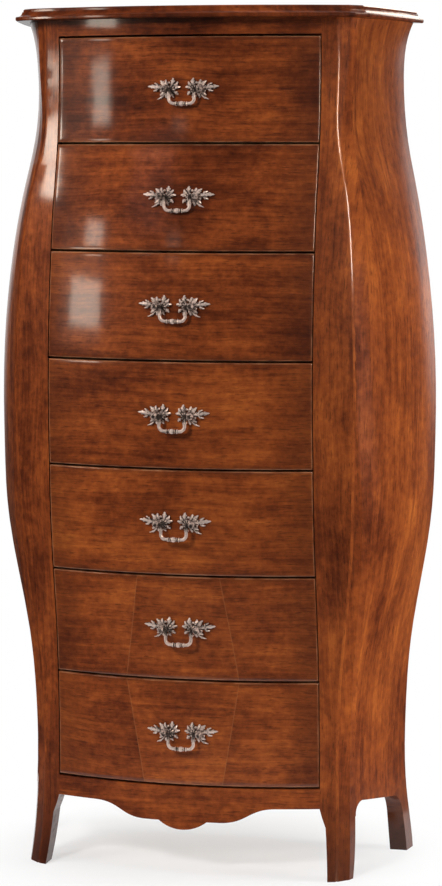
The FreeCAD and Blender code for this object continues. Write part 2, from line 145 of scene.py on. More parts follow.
def object_place(tree):
    """Places on a piece, in metres."""
    return add_node(tree, "ShaderNodeTexCoord").outputs["Object"]


def vary_roughness(tree, shader, base, mask, more):
    """Roughness from a base, with more of it where a mask is 1."""
    roughness = calculate(tree, "ADD", base, calculate(tree, "MULTIPLY", mask, more))
    tree.links.new(roughness, shader.inputs["Roughness"])


def raise_surface(tree, shader, height, strength, depth):
    """Let a height from 0 to 1 tilt the surface as a relief of some depth in metres would."""
    bump = add_node(tree, "ShaderNodeBump", {"Strength": strength, "Distance": depth, "Height": height})
    tree.links.new(bump.outputs["Normal"], shader.inputs["Normal"])


print("material helpers ready")

# %% [markdown]
# The figure of the wood
#
# Stained cherry shows several things at several sizes: broad clouds where the stain soaked in,
# streaks along the grain from a thumb's width to a hair, short flecks, dark pores and dashes, and a
# knot here and there. All are noise that is stretched along the grain, so one group can serve every
# board: it takes a place in metres whose X runs along the grain. An image of wood would be quicker,
# but it would repeat and it would not follow the boards round a corner.

# %% Node group: wood figure
MIDDLE_TONE = 0.5
BEND_COUNT = 4.0
BEND_DETAIL = 1.0
BEND_REACH = (0.03, 0.01, 0.03)
# counts per metre along and across the grain, detail, roughness and weight
TONE_PARTS = {
    "clouds": ((7.0, 5.0, 12.0), 4.0, 0.60, 1.25),
    "streaks": ((9.0, 8.0, 80.0), 4.0, 0.62, 0.58),
    "hairs": ((5.0, 6.0, 230.0), 2.0, 0.55, 0.50),
    "flecks": ((75.0, 14.0, 95.0), 3.0, 0.65, 0.70),
}

figure, figure_in, figure_out = new_group(
    "wood figure",
    [("Place", "NodeSocketVector")],
    [("Tone", "NodeSocketFloat"), ("Pores", "NodeSocketFloat"), ("Knots", "NodeSocketFloat")])
figure_place = figure_in.outputs["Place"]
bend = add_node(figure, "ShaderNodeTexNoise",
                {"Vector": figure_place, "Scale": BEND_COUNT, "Detail": BEND_DETAIL})
bend_offset = calculate_vector(figure, "SUBTRACT", bend.outputs["Color"], (MIDDLE_TONE,) * 3)
bent_place = calculate_vector(figure, "MULTIPLY_ADD", bend_offset, BEND_REACH, figure_place)

tone_sum = MIDDLE_TONE
for counts, detail, roughness, weight in TONE_PARTS.values():
    swing = calculate(figure, "SUBTRACT", cloud(figure, bent_place, counts, detail, roughness), MIDDLE_TONE)
    tone_sum = calculate(figure, "ADD", calculate(figure, "MULTIPLY", swing, weight), tone_sum)
tone = calculate(figure, "ADD", tone_sum, 0.0, clamp=True)
figure.links.new(tone, figure_out.inputs["Tone"])
print("tone from", ", ".join(TONE_PARTS))

# %% Pores and knots of the wood figure
LINE_DETAIL = 2.0
LINE_ROUGHNESS = 0.55
PORE_COUNTS = (60.0, 30.0, 640.0)
PORE_RANGE = (0.56, 0.72)
DASH_COUNTS = (26.0, 20.0, 290.0)
DASH_RANGE = (0.60, 0.72)
DASH_SHARE = 0.8
KNOT_COUNT = 11.0
KNOT_RANGE = (0.015, 0.075)
KNOT_LIMIT = 0.78

pore_lines = cloud(figure, bent_place, PORE_COUNTS, LINE_DETAIL, LINE_ROUGHNESS)
dark_dashes = cloud(figure, bent_place, DASH_COUNTS, LINE_DETAIL, LINE_ROUGHNESS)
dashes = calculate(figure, "MULTIPLY", stretch_range(figure, dark_dashes, *DASH_RANGE), DASH_SHARE)
pores = calculate(figure, "MAXIMUM", stretch_range(figure, pore_lines, *PORE_RANGE), dashes)
figure.links.new(pores, figure_out.inputs["Pores"])

knot_cells = add_node(figure, "ShaderNodeTexVoronoi",
                      {"Vector": bent_place, "Scale": KNOT_COUNT, "Randomness": 1.0})
knot_shape = stretch_range(figure, knot_cells.outputs["Distance"], *KNOT_RANGE, 1.0, 0.0)
knot_pick = add_node(figure, "ShaderNodeSeparateColor", {"Color": knot_cells.outputs["Color"]})
knot_chosen = calculate(figure, "GREATER_THAN", knot_pick.outputs["Red"], KNOT_LIMIT)
figure.links.new(calculate(figure, "MULTIPLY", knot_shape, knot_chosen), figure_out.inputs["Knots"])
print("group:", figure.name, len(figure.nodes), "nodes")

# %% [markdown]
# Dark glaze with painted shade, and a pale rim
#
# On an antiqued finish the maker wipes a dark glaze over the wood. It stays along the edges of each
# drawer front, and it reaches further in from the two ends. Along the joints between the fronts the
# same darkening is also painted shade. The very edge is paler: partly rubbed through to pale wood,
# partly a painted highlight where the eased edge catches the light. Both follow the front's outline,
# which is a rectangle when seen from the front, so the group measures how far a point lies from the
# border of a rectangle and answers with two masks: one for the glaze and painted shade, and one for
# the thin rim. Masks painted by hand would have to be painted seven times.

# %% Node group: border glaze and painted shade
END_SHARE = 0.16
UNEVEN_COUNTS = (30.0, 30.0, 30.0)
UNEVEN_DETAIL = 3.0
UNEVEN_ROUGHNESS = 0.6
UNEVEN_GAIN = 2.0
RIM_LINE = (0.0008, 0.0024)
RIM_BREAKUP = (0.35, 0.65)
RIM_LEAST = 0.15

glaze, border_in, border_out = new_group(
    "border glaze and shade",
    [("Place", "NodeSocketVector"), ("Middle", "NodeSocketVector"), ("Half Size", "NodeSocketVector"),
     ("Width", "NodeSocketFloat")],
    [("Mask", "NodeSocketFloat"), ("Rim", "NodeSocketFloat")])
from_middle = calculate_vector(glaze, "SUBTRACT", border_in.outputs["Place"], border_in.outputs["Middle"])
size_from_middle = calculate_vector(glaze, "ABSOLUTE", from_middle)
to_border = calculate_vector(glaze, "SUBTRACT", border_in.outputs["Half Size"], size_from_middle)
border_parts = add_node(glaze, "ShaderNodeSeparateXYZ", {"Vector": to_border})
to_end = border_parts.outputs["X"]
to_edge = border_parts.outputs["Z"]
uneven = cloud(glaze, border_in.outputs["Place"], UNEVEN_COUNTS, UNEVEN_DETAIL, UNEVEN_ROUGHNESS)

wiped_border = calculate(glaze, "MINIMUM", calculate(glaze, "MULTIPLY", to_end, END_SHARE), to_edge)
uneven_share = calculate(glaze, "MULTIPLY", uneven, UNEVEN_GAIN)
uneven_width = calculate(glaze, "MULTIPLY", border_in.outputs["Width"], uneven_share)
border_share = calculate(glaze, "DIVIDE", wiped_border, uneven_width)
glaze.links.new(stretch_range(glaze, border_share, 0.0, 1.0, 1.0, 0.0), border_out.inputs["Mask"])

nearest_border = calculate(glaze, "MINIMUM", to_end, to_edge)
# the rim line is paler: partly wear, partly a painted highlight on the eased edge
rim_line = stretch_range(glaze, nearest_border, *RIM_LINE, 1.0, 0.0)
rim_breakup = stretch_range(glaze, uneven, *RIM_BREAKUP, RIM_LEAST, 1.0)
glaze.links.new(calculate(glaze, "MULTIPLY", rim_line, rim_breakup), border_out.inputs["Rim"])
print("group:", glaze.name, len(glaze.nodes), "nodes")

# %% [markdown]
# Stain
#
# Stain turns the figure into colour: dark where the wood drank much, orange where it drank little,
# and nearly black in pores and knots. A ramp of five colours does that. What changes from board to
# board is which way the grain runs and which part of the plank it was cut from, so the figure's
# place is turned and moved before the group reads it, instead of drawing new wood for each board.

# %% Stained colour
STAIN = [
    (0.00, (0.040, 0.0072, 0.0022, 1.0)),
    (0.30, (0.112, 0.0215, 0.0052, 1.0)),
    (0.52, (0.196, 0.0415, 0.0090, 1.0)),
    (0.75, (0.300, 0.0690, 0.0130, 1.0)),
    (1.00, (0.430, 0.1120, 0.0200, 1.0)),
]
DARK_PORE = (0.030, 0.006, 0.003, 1.0)
PORE_SHARE = 0.55
KNOT_SHARE = 0.8
QUARTER_TURN = math.radians(90.0)
GRAIN_TURN = {
    "across": (0.0, 0.0, 0.0),
    "across, lying flat": (QUARTER_TURN, 0.0, 0.0),
    "upright": (0.0, QUARTER_TURN, 0.0),
    "upright on a side": (QUARTER_TURN, 0.0, QUARTER_TURN),
}


def lay_grain(tree, place, grain_runs, plank_place):
    """The wood figure, turned along the grain and moved to its part of the plank."""
    turned = add_node(tree, "ShaderNodeMapping",
                      {"Vector": place, "Location": plank_place, "Rotation": GRAIN_TURN[grain_runs]})
    return add_node(tree, "ShaderNodeGroup", {"Place": turned.outputs["Vector"]}, node_tree=figure)


def stained_colour(tree, grain, lightness):
    """Tone to stain, darkened by pores and knots."""
    ramp = add_node(tree, "ShaderNodeValToRGB",
                    {"Fac": calculate(tree, "ADD", grain.outputs["Tone"], lightness)})
    stops = ramp.color_ramp.elements
    while len(stops) < len(STAIN):
        stops.new(MIDDLE_TONE)
    for stop, (place, colour) in zip(stops, STAIN):
        stop.position = place
        stop.color = colour
    colour = lay_over(tree, ramp.outputs["Color"], DARK_PORE, grain.outputs["Pores"], PORE_SHARE)
    return lay_over(tree, colour, DARK_PORE, grain.outputs["Knots"], KNOT_SHARE)


print("stain:", len(STAIN), "colours,", len(GRAIN_TURN), "ways to lay the grain")

# %% [markdown]
# Pieced veneer
#
# The veneer of the two lowest fronts is pieced: a middle plank lies between two slanting seams,
# which show as thin pale lines. Three boards could be modelled, but the surface is one sheet, so a
# mask is enough. The seams are straight, and at each height one half width tells whether a point
# lies inside them. There the figure jumps to another part of the plank.

# %% Veneer seams
PALE_SEAM = (0.36, 0.140, 0.050, 1.0)
SEAM_SHARE = 0.32
SEAM_LINE = (0.0003, 0.0011)
KITE_PLANK = (0.83, 0.27, 0.41)
KITE_LIGHTNESS = 0.05


def kite_masks(tree, place, low, high):
    """Masks for a middle plank of veneer whose seams run straight between two half widths."""
    (low_z, low_half), (high_z, high_half) = low, high
    parts = add_node(tree, "ShaderNodeSeparateXYZ", {"Vector": place})
    half = add_node(tree, "ShaderNodeMapRange",
                    {"Value": parts.outputs["Z"], "From Min": low_z, "From Max": high_z, "To Min": low_half,
                     "To Max": high_half}).outputs["Result"]
    past_seam = calculate(tree, "SUBTRACT", calculate(tree, "ABSOLUTE", parts.outputs["X"]), half)
    inside = calculate(tree, "LESS_THAN", past_seam, 0.0)
    seam = stretch_range(tree, calculate(tree, "ABSOLUTE", past_seam), *SEAM_LINE, 1.0, 0.0)
    return inside, seam


print("veneer seams ready")

# %% [markdown]
# The outer finish
#
# All the show wood has one recipe: figure, stain, glaze with painted shade, lacquer. A glossy wood
# shader alone would wash out the red of the stain, so the lacquer is a thin clear coat over a satin
# base, as it is on the real chest, and the coat gives the soft white reflections. Feet and side
# panels get darker towards one end: painted shade near the top of the side panels, a plain darkening
# at the feet.

# %% Outer wood
DEEP_BROWN = (0.040, 0.009, 0.004, 1.0)
GLAZE_AND_SHADE_SHARE = 0.42
GLAZE_AND_SHADE_WIDTH = 0.012
PALE_RIM = (0.46, 0.200, 0.095, 1.0)
RIM_SHARE = 0.5
SATIN = 0.42
PORE_ROUGHNESS = 0.18
TONE_RELIEF = 0.6
GRAIN_BUMP = 0.25
GRAIN_DEPTH = 0.0004
BASE_SHINE = 0.12
LACQUER = 0.6
LACQUER_ROUGHNESS = 0.11


def glaze_and_shade_border(tree, place, colour, low, high):
    """Dark glaze with painted shade, and a pale rim of wear and painted highlight, along the border of a
    drawer front.
    """
    border = add_node(tree, "ShaderNodeGroup",
                      {"Place": place, "Middle": (low + high) / 2, "Half Size": (high - low) / 2,
                       "Width": GLAZE_AND_SHADE_WIDTH}, node_tree=glaze)
    # glaze that is partly painted shade along the border, then a pale rim that is partly painted highlight
    colour = lay_over(tree, colour, DEEP_BROWN, border.outputs["Mask"], GLAZE_AND_SHADE_SHARE)
    return lay_over(tree, colour, PALE_RIM, border.outputs["Rim"], RIM_SHARE)


def darken_towards_end(tree, place, colour, thick_z, clear_z, share):
    """Darker colour that is strongest at one height and runs out at another."""
    height = add_node(tree, "ShaderNodeSeparateXYZ", {"Vector": place}).outputs["Z"]
    return blend_colours(tree, stretch_range(tree, height, thick_z, clear_z, share, 0.0), colour, DEEP_BROWN)


def outer_wood(name, grain_runs, plank_place, lightness, border_box=None, kite=None, dark_end=None):
    """Stained, lacquered wood.

    border_box: corners of a front with glaze, painted shade and a pale rim; kite: ends of its veneer
    seams; dark_end: heights where the darkening is strongest and where it runs out, and how much of it
    there is.
    """
    material, tree, shader = new_material(name)
    place = object_place(tree)
    plank = place
    if kite:
        inside, seam = kite_masks(tree, place, *kite)
        plank = calculate_vector(tree, "MULTIPLY_ADD", inside, KITE_PLANK, place)
        lightness = calculate(tree, "ADD", calculate(tree, "MULTIPLY", inside, KITE_LIGHTNESS), lightness)
    grain = lay_grain(tree, plank, grain_runs, plank_place)
    colour = stained_colour(tree, grain, lightness)
    if kite:
        colour = lay_over(tree, colour, PALE_SEAM, seam, SEAM_SHARE)
    if border_box:
        colour = glaze_and_shade_border(tree, place, colour, *border_box)
    # dark_end: painted shade at the neck of the side panels, a plain darkening at the feet
    if dark_end:
        colour = darken_towards_end(tree, place, colour, *dark_end)
    tree.links.new(colour, shader.inputs["Base Color"])
    vary_roughness(tree, shader, SATIN, grain.outputs["Pores"], PORE_ROUGHNESS)
    raised_tone = calculate(tree, "MULTIPLY", grain.outputs["Tone"], TONE_RELIEF)
    relief = calculate(tree, "SUBTRACT", raised_tone, grain.outputs["Pores"])
    raise_surface(tree, shader, relief, GRAIN_BUMP, GRAIN_DEPTH)
    shader.inputs["Specular IOR Level"].default_value = BASE_SHINE
    shader.inputs["Coat Weight"].default_value = LACQUER
    shader.inputs["Coat Roughness"].default_value = LACQUER_ROUGHNESS
    return material


print("outer wood ready")

# %% Stained boards
# heights where the darkening is strongest and where it runs out, and its share
DARK_FOOT = (0.0, 0.19, 0.82)
# painted shade: the side panels are darker towards the top
NECK_PAINTED_SHADE = (1.27, 0.90, 0.31)
# way of the grain, place on the plank, lightness, darker end
# the low lightness of the top board and the top rail is painted shade
STAINED_BOARDS = {
    "front_left_post": ("upright", (0.31, 0.07, 0.90), -0.08, DARK_FOOT),
    "front_right_post": ("upright", (1.70, 0.40, 0.20), 0.03, DARK_FOOT),
    "rear_left_leg": ("upright on a side", (2.10, 0.20, 0.50), -0.02, DARK_FOOT),
    "rear_right_leg": ("upright on a side", (2.90, 0.60, 0.10), 0.00, DARK_FOOT),
    "left_side_panel": ("upright on a side", (3.30, 0.10, 0.40), 0.11, NECK_PAINTED_SHADE),
    "right_side_panel": ("upright on a side", (4.10, 0.80, 0.70), 0.11, NECK_PAINTED_SHADE),
    "top_board": ("across, lying flat", (0.55, 0.35, 0.15), -0.24, None),
    "top_rail": ("across", (1.25, 0.15, 0.65), -0.14, None),
    "apron_rail": ("across", (2.45, 0.75, 0.25), 0.03, None),
}


def dress(node_name, material):
    """Give a board of the frame its finish."""
    for slot in nodes[node_name].material_slots:
        slot.material = material


for board, (grain_runs, plank_place, lightness, dark_end) in STAINED_BOARDS.items():
    dress(board, outer_wood("stained " + board, grain_runs, plank_place, lightness, dark_end=dark_end))
print("stained boards:", len(STAINED_BOARDS))

# %% [markdown]
# The plain inner wood
#
# Inside, where nobody looks, the maker used pale, unstained boards. They show when a drawer is
# pulled out, and the back panel shows from behind. The same figure group gives the grain; a pale
# pair of colours and a dry surface give the rest.

# %% Inner wood
PALE_LOW = (0.33, 0.200, 0.095, 1.0)
PALE_HIGH = (0.60, 0.420, 0.235, 1.0)
PALE_PORE_SHARE = 0.3
PALE_KNOT_SHARE = 0.5
DRY = 0.62
DRY_PORES = 0.2
SANDED_BUMP = 0.3
SANDED_DEPTH = 0.0005
DRY_SHINE = 0.3
# way of the grain and place on the plank
PALE_PLANKS = {
    "pale wood across": ("across", (0.2, 0.9, 0.4)),
    "pale wood lying flat": ("across, lying flat", (0.6, 0.1, 0.5)),
    "pale wood upright": ("upright", (1.1, 0.3, 0.8)),
}


def inner_wood(name, grain_runs, plank_place):
    """Sanded, unfinished wood."""
    material, tree, shader = new_material(name)
    grain = lay_grain(tree, object_place(tree), grain_runs, plank_place)
    pores = grain.outputs["Pores"]
    colour = blend_colours(tree, grain.outputs["Tone"], PALE_LOW, PALE_HIGH)
    colour = lay_over(tree, colour, PALE_LOW, pores, PALE_PORE_SHARE)
    colour = lay_over(tree, colour, DEEP_BROWN, grain.outputs["Knots"], PALE_KNOT_SHARE)
    tree.links.new(colour, shader.inputs["Base Color"])
    vary_roughness(tree, shader, DRY, pores, DRY_PORES)
    raise_surface(tree, shader, calculate(tree, "SUBTRACT", 1.0, pores), SANDED_BUMP, SANDED_DEPTH)
    shader.inputs["Specular IOR Level"].default_value = DRY_SHINE
    return material


pale_across, pale_flat, pale_upright = [inner_wood(name, *plank) for name, plank in PALE_PLANKS.items()]
for board in ("drawer_dividers", "left_runners", "right_runners", "back_rails"):
    dress(board, pale_across)
for drawer in drawers:
    dress(f"drawer_{drawer}_sides", pale_across)
    dress(f"drawer_{drawer}_back", pale_across)
    dress(f"drawer_{drawer}_bottom", pale_flat)
dress("bottom_board", pale_flat)
dress("back_panel", pale_upright)
print("pale finishes:", ", ".join(PALE_PLANKS))

# %% [markdown]
# Metal
#
# The pulls are cast and silvered, then darkened so that the hollows stay black and the ridges
# are rubbed bright. Each cast piece below carries a number at every point, called relief, which
# is 1 on a ridge and 0 in a hollow; the finish reads it. On the bails it is also lowered up the
# arms and under the bar, as painted shade. A finish that looks for ridges by itself would need far
# finer meshes. The screws are plain zinc-plated steel.

# %% Antique metal
PATINA = (0.032, 0.020, 0.016, 1.0)
RUBBED_SILVER = (0.76, 0.58, 0.50, 1.0)
TARNISH_COUNTS = (160.0, 160.0, 160.0)
TARNISH_REACH = 0.5
SPECKLE_COUNTS = (430.0, 430.0, 430.0)
SPECKLE_DETAIL = 3.0
SPECKLE_ROUGHNESS = 0.6
SPECKLE_REACH = 0.9
RUBBED_RANGE = (0.26, 0.72)
HOLLOW_ROUGHNESS = 0.62
RUBBED_SMOOTHER = -0.3
CAST_BUMP = 0.3
CAST_DEPTH = 0.0002
CAST_METALLIC = 0.45


def antique_metal(name):
    """Silvered casting, dark in the hollows."""
    material, tree, shader = new_material(name)
    place = object_place(tree)
    speckle = cloud(tree, place, SPECKLE_COUNTS, SPECKLE_DETAIL, SPECKLE_ROUGHNESS)
    tarnish = cloud(tree, place, TARNISH_COUNTS)
    rubbed = add_node(tree, "ShaderNodeAttribute", attribute_name="relief",
                      attribute_type="GEOMETRY").outputs["Fac"]
    for noise, reach in ((tarnish, TARNISH_REACH), (speckle, SPECKLE_REACH)):
        swing = calculate(tree, "SUBTRACT", noise, MIDDLE_TONE)
        rubbed = calculate(tree, "ADD", rubbed, calculate(tree, "MULTIPLY", swing, reach))
    rubbed = stretch_range(tree, rubbed, *RUBBED_RANGE)
    tree.links.new(blend_colours(tree, rubbed, PATINA, RUBBED_SILVER), shader.inputs["Base Color"])
    vary_roughness(tree, shader, HOLLOW_ROUGHNESS, rubbed, RUBBED_SMOOTHER)
    raise_surface(tree, shader, speckle, CAST_BUMP, CAST_DEPTH)
    shader.inputs["Metallic"].default_value = CAST_METALLIC
    return material


silvered = antique_metal("antique metal")
print("finish:", silvered.name)

# %% Screw steel
ZINC_DARK = (0.42, 0.42, 0.43, 1.0)
ZINC_BRIGHT = (0.66, 0.66, 0.65, 1.0)
TURNING_MARKS = (300.0, 300.0, 2200.0)
ZINC_ROUGHNESS = 0.25
MARK_ROUGHNESS = 0.25


def screw_steel(name):
    """Zinc plate with fine turning marks."""
    material, tree, shader = new_material(name)
    marks = cloud(tree, object_place(tree), TURNING_MARKS)
    tree.links.new(blend_colours(tree, marks, ZINC_DARK, ZINC_BRIGHT), shader.inputs["Base Color"])
    vary_roughness(tree, shader, ZINC_ROUGHNESS, marks, MARK_ROUGHNESS)
    shader.inputs["Metallic"].default_value = 1.0
    return material


dress("top_screws", screw_steel("screw steel"))
print("screws dressed")

# %% [markdown]
# Handing a piece over
#
# A piece made below starts as a bmesh, which is Blender's mesh for editing. To join the chest it
# becomes an object that moves with one body of the frame and stands in for the plain solids there.
# Its place stays in its mesh and the object stays at the origin, as the frame's own objects do.

# %% Keep a piece
def keep_piece(name, mesh_builder, material, body, replaced, sharp_angle):
    """Turn a bmesh into a finished piece that rides on a body and stands for its frame nodes."""
    mesh = bpy.data.meshes.new(name)
    mesh_builder.to_mesh(mesh)
    mesh_builder.free()
    # normals copied from a frame node don't fit a bevelled mesh
    if "custom_normal" in mesh.attributes:
        mesh.attributes.remove(mesh.attributes["custom_normal"])
    mesh.shade_smooth()
    mesh.set_sharp_from_angle(angle=math.radians(sharp_angle))
    mesh.materials.append(material)
    piece = bpy.data.objects.new(name, mesh)
    bpy.context.scene.collection.objects.link(piece)
    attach(piece, body)
    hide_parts(*replaced)
    return piece


# %% [markdown]
# Drawer fronts with eased edges
#
# A drawer front is a thick board, bowed and swelling on the outside, whose sharp edges are taken
# off so that they don't splinter. The frame has the right surface, so a flat grid is laid in
# front of it and every point is dropped onto it by a ray, which gives an even net of quads that
# takes reflections well. The net is then pushed back to the rear face, and its front rim is
# bevelled round. Bevelling the frame's own triangles would have left a ragged edge.

# %% Dropping points onto a board
RAY_START = 0.6
FACING_LIMIT = 0.5
EDGE_INSET = 0.0025
HOLE_REACH = 0.006


def ray_target(node_name):
    """A board of the frame as a tree of faces that rays can search."""
    mesh = nodes[node_name].data
    return BVHTree.FromPolygons([vert.co for vert in mesh.vertices],
                                [face.vertices for face in mesh.polygons])


def cast_ray(target, x, z, from_front):
    """Where a level ray meets the board, and the normal there; None in a bolt hole."""
    side = -1.0 if from_front else 1.0
    place, normal, _, _ = target.ray_cast(Vector((x, side * RAY_START, z)), Vector((0.0, -side, 0.0)))
    return (place.y, normal) if place and abs(normal.y) > FACING_LIMIT else None


def drop_on(target, box, x, z, from_front=True):
    """Y of the board at x, z, carried on level with the surface past the eased rim and over bolt holes."""
    low, high = box
    inside_x = min(max(x, low.x + EDGE_INSET), high.x - EDGE_INSET)
    inside_z = min(max(z, low.z + EDGE_INSET), high.z - EDGE_INSET)
    found = cast_ray(target, inside_x, inside_z, from_front)
    if not found:
        below = cast_ray(target, inside_x, inside_z - HOLE_REACH, from_front)
        above = cast_ray(target, inside_x, inside_z + HOLE_REACH, from_front)
        return (below[0] + above[0]) / 2
    y, normal = found
    return y - (normal.x * (x - inside_x) + normal.z * (z - inside_z)) / normal.y


print("rays start", RAY_START, "m from the middle of the chest")

# %% Drawer fronts
FRONT_COLUMNS = 64
FRONT_ROWS = 26
HALF_UNIT = 0.5
FRONT_EASE = 0.0016
EASE_SEGMENTS = 3
RIM_ANGLE = 0.8
FRONT_SHARP = 45.0
# place on the plank and lightness
# the low lightness of fronts 1 and 2 is painted shade; the rest is tone that differs from board to board
FRONT_PLANKS = {
    1: ((0.40, 0.10, 0.30), -0.11),
    2: ((1.90, 0.50, 0.80), -0.12),
    3: ((2.70, 0.20, 0.10), -0.01),
    4: ((3.60, 0.70, 0.55), 0.03),
    5: ((4.80, 0.30, 0.95), 0.10),
    6: ((5.50, 0.60, 0.35), 0.03),
    7: ((6.40, 0.90, 0.75), 0.02),
}
# height and half width where the seams start, and where they end
KITE_SEAMS = {6: ((0.295, 0.087), (0.455, 0.063)), 7: ((0.135, 0.060), (0.295, 0.087))}


def eased_front(node_name):
    """The net of one drawer front, closed and with a round rim."""
    target = ray_target(node_name)
    low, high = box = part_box(node_name)
    net = bmesh.new()
    bmesh.ops.create_grid(net, x_segments=FRONT_COLUMNS, y_segments=FRONT_ROWS, size=HALF_UNIT)
    bmesh.ops.scale(net, vec=(high.x - low.x, high.z - low.z, 1.0), verts=net.verts)
    bmesh.ops.rotate(net, cent=(0, 0, 0), matrix=Matrix.Rotation(QUARTER_TURN, 3, "X"), verts=net.verts)
    bmesh.ops.translate(net, vec=(0.0, 0.0, (low.z + high.z) / 2), verts=net.verts)
    pushed = bmesh.ops.extrude_face_region(net, geom=list(net.faces))
    rear = {item for item in pushed["geom"] if isinstance(item, bmesh.types.BMVert)}
    for vert in net.verts:
        vert.co.y = drop_on(target, box, vert.co.x, vert.co.z, from_front=vert not in rear)
    bmesh.ops.recalc_face_normals(net, faces=net.faces)
    rim = [edge for edge in net.edges
           if not rear & set(edge.verts) and edge.calc_face_angle(0.0) > RIM_ANGLE]
    bmesh.ops.bevel(net, geom=rim, offset=FRONT_EASE, offset_type="OFFSET", affect="EDGES",
                    segments=EASE_SEGMENTS, profile=0.5, material=-1, clamp_overlap=True)
    return net


for drawer, (plank_place, lightness) in FRONT_PLANKS.items():
    front_node = f"drawer_{drawer}_front"
    stained = outer_wood(f"stained front {drawer}", "across", plank_place, lightness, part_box(front_node),
                         KITE_SEAMS.get(drawer))
    front_piece = keep_piece(f"eased_front_{drawer}", eased_front(front_node), stained, f"drawer_{drawer}",
                             [front_node], FRONT_SHARP)
print("drawer fronts:", len(FRONT_PLANKS), "each", len(front_piece.data.polygons), "faces")

# %% [markdown]
# Posts with an eased arris
#
# Each front corner of the case is a shaped post. Its front face meets a narrow canted face in a
# long arris, and a joiner takes the sharpness off it with a plane. The thin round that is left
# catches the light from top to foot. The stain wears off differently there, so the round has a
# finish of its own; the right one is paler, partly from that wear and partly as a painted highlight
# along the arris. The frame's own post is copied, its loose triangles are merged, and the arris is
# bevelled; the other corners are covered or stay as they are.

# %% Posts
ARRIS_EASE = 0.0024
BETWEEN_FACES = math.radians(30.0)
CANT_TURN_LIMIT = math.radians(80.0)
MERGE_DISTANCE = 1e-6
POST_SHARP = 12.0
ARRIS_PLANK = (1.20, 0.60, 0.40)
# the right arris is paler, partly wear and partly a painted highlight
ARRIS_LIGHTNESS = {"left": -0.06, "right": 0.20}


def is_arris(edge):
    """True for a steep edge between the front face and the canted face of a post."""
    turns = [math.atan2(abs(face.normal.x), -face.normal.y) for face in edge.link_faces]
    run = edge.verts[1].co - edge.verts[0].co
    return min(turns) < BETWEEN_FACES < max(turns) < CANT_TURN_LIMIT and abs(run.z) > run.length / 2


def eased_post(node_name):
    """A merged copy of a post with its arris rounded."""
    post = bmesh.new()
    post.from_mesh(nodes[node_name].data)
    bmesh.ops.remove_doubles(post, verts=post.verts, dist=MERGE_DISTANCE)
    arris = [edge for edge in post.edges if is_arris(edge)]
    rounded = bmesh.ops.bevel(post, geom=arris, offset=ARRIS_EASE, offset_type="OFFSET", affect="EDGES",
                              segments=EASE_SEGMENTS, profile=0.5, material=-1, clamp_overlap=False)
    for face in rounded["faces"]:
        face.material_index = 1
    return post


for side, lightness in ARRIS_LIGHTNESS.items():
    post_node = f"front_{side}_post"
    arris_finish = outer_wood(f"worn {side} arris", "upright", ARRIS_PLANK, lightness, dark_end=DARK_FOOT)
    post_material = nodes[post_node].material_slots[0].material
    post_piece = keep_piece(f"eased_{side}_post", eased_post(post_node), post_material, "carcass",
                            [post_node], POST_SHARP)
    post_piece.data.materials.append(arris_finish)
print("posts:", len(ARRIS_LIGHTNESS), "each", len(post_piece.data.polygons), "faces")

# %% [markdown]
# A cast leaf
#
# The pulls hang from rosettes of curling leaves. One leaf is a small grid: its long axis is bent
# along a curve from root to tip, its width swells and then runs out to a narrow tip with a
# scalloped edge, and its surface rises to a rib with slanting veins beside it. The relief number
# is written at the same time, so that ribs and veins come out bright. Solidify then gives the
# casting its thickness. Leaves sculpted by hand would be livelier, but a formula can be told how
# long, wide and curled each leaf is.

# %% Shape of a leaf
LEAF_TIP_SHARE = 0.06
ROOT_POWER = 0.45
TIP_POWER = 0.62
SWELL = 1.75
STALK_SHARE = 0.10
SCALLOP_DEPTH = 0.20
RIB_POWER = 0.8
VEIN_SLANT = 0.9


def leaf_width(share, across, scallops):
    """Width of a leaf at a share of its length, as a share of its widest, scalloped at the edge."""
    swell = (share ** ROOT_POWER) * ((1.0 - share) ** TIP_POWER) * SWELL + STALK_SHARE * (1.0 - share)
    scallop = 1.0 + SCALLOP_DEPTH * math.cos(math.tau * scallops * share) * abs(across)
    return max(swell, LEAF_TIP_SHARE) * scallop


def leaf_ridges(share, across, scallops):
    """How much of the rib and of a vein there is at a point of a leaf, each from 0 to 1."""
    rib = (1.0 - abs(across)) ** RIB_POWER
    vein = 0.5 + 0.5 * math.cos(math.tau * (scallops * share - VEIN_SLANT * abs(across)))
    return rib, vein


print("leaf half way:", round(leaf_width(0.5, 0.0, 3), 2), "of its full width")

# %% Cast leaves
LEAF_STEPS = 14
LEAF_HALF_STEPS = 4
LEAF_THICKNESS = 0.0009
LEAF_CLEARANCE = 0.0004
EARLY_CURL = 1.1
RIB_HEIGHT = 0.0016
RIB_FALL = 0.5
VEIN_HEIGHT = 0.0006
RIB_SHINE = 0.62
VEIN_SHINE = 0.48
ROOT_SHINE = 0.80
TIP_GAIN = 0.35
TIP_SHINE = 0.18


